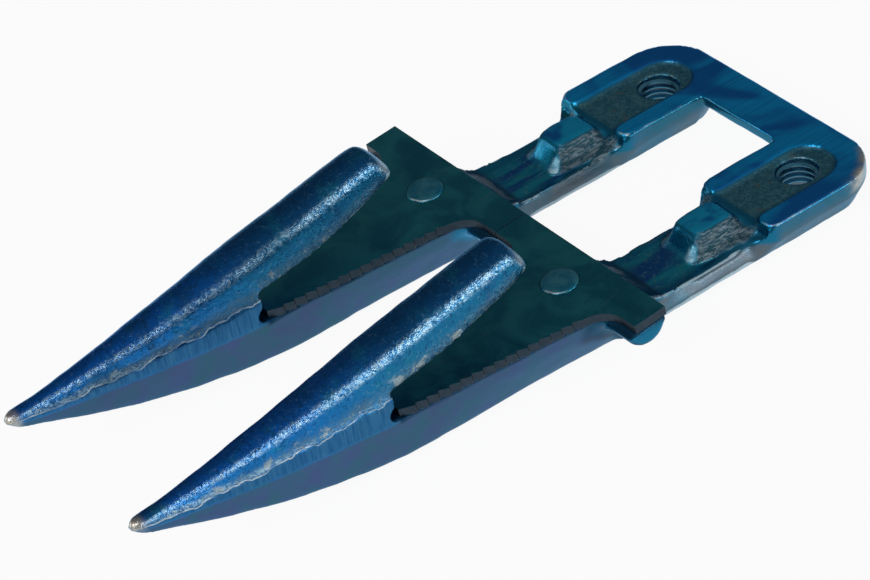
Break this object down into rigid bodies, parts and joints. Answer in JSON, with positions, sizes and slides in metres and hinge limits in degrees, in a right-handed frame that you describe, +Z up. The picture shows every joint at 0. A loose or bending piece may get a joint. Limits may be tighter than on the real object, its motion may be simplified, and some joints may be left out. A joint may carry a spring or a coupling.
{
  "type": "mower knife guard",
  "caption": "Forged mower knife guard: pointed fingers with overhanging lips, riveted serrated ledger plates and a tapped seat frame behind.",
  "frame": {"origin": "midway between the two tapped holes, on the underside of the pads", "axes": "+Z up along the tapped holes, fingers point along -Y, +X across the guard"},
  "size_m": [0.1016, 0.2009, 0.0402],
  "materials": {
    "forging": "blue lacquer, glossy over a rough forged skin",
    "ledger_plate": "dark lacquered steel, satin",
    "rivet": "blue lacquered steel, satin"
  },
  "bodies": {
    "root": {"guard_body": "forging", "ledger_plate_left": "ledger_plate", "ledger_plate_right": "ledger_plate", "rivet_left": "rivet", "rivet_right": "rivet"}
  },
  "joints": []
}
